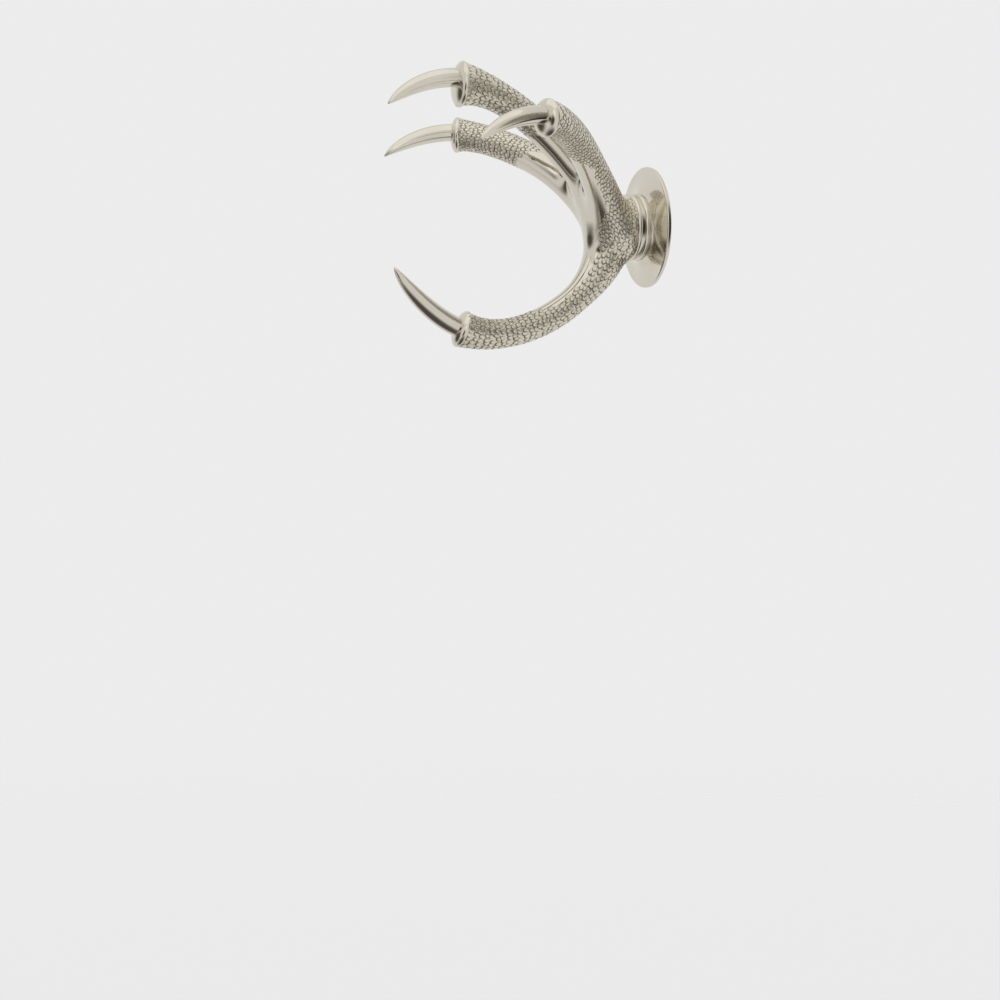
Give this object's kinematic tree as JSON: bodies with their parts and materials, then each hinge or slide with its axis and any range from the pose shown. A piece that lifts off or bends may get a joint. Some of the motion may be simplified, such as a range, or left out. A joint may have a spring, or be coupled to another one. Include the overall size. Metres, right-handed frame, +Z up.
{
  "type": "claw hose hanger",
  "caption": "Wall hook cast as a raptor's claw: a round flange and beaded neck carry scaly toes spread above and a hind toe curled below, so a coiled hose hangs in the grip.",
  "frame": {"origin": "centre of the flange's flat back face, at the mouth of the bolt hole, on the wall's surface", "axes": "+Y runs into the wall, so the claw reaches out along -Y; +Z is up; X runs across, and the plane X = 0 is the plane of symmetry"},
  "size_m": [0.2042, 0.1813, 0.1865],
  "materials": {
    "polished_nickel": "polished nickel over a scaly cast skin, with mirror-smooth talons, palm and flange"
  },
  "bodies": {
    "root": {"claw_hanger": "polished_nickel"}
  },
  "joints": []
}
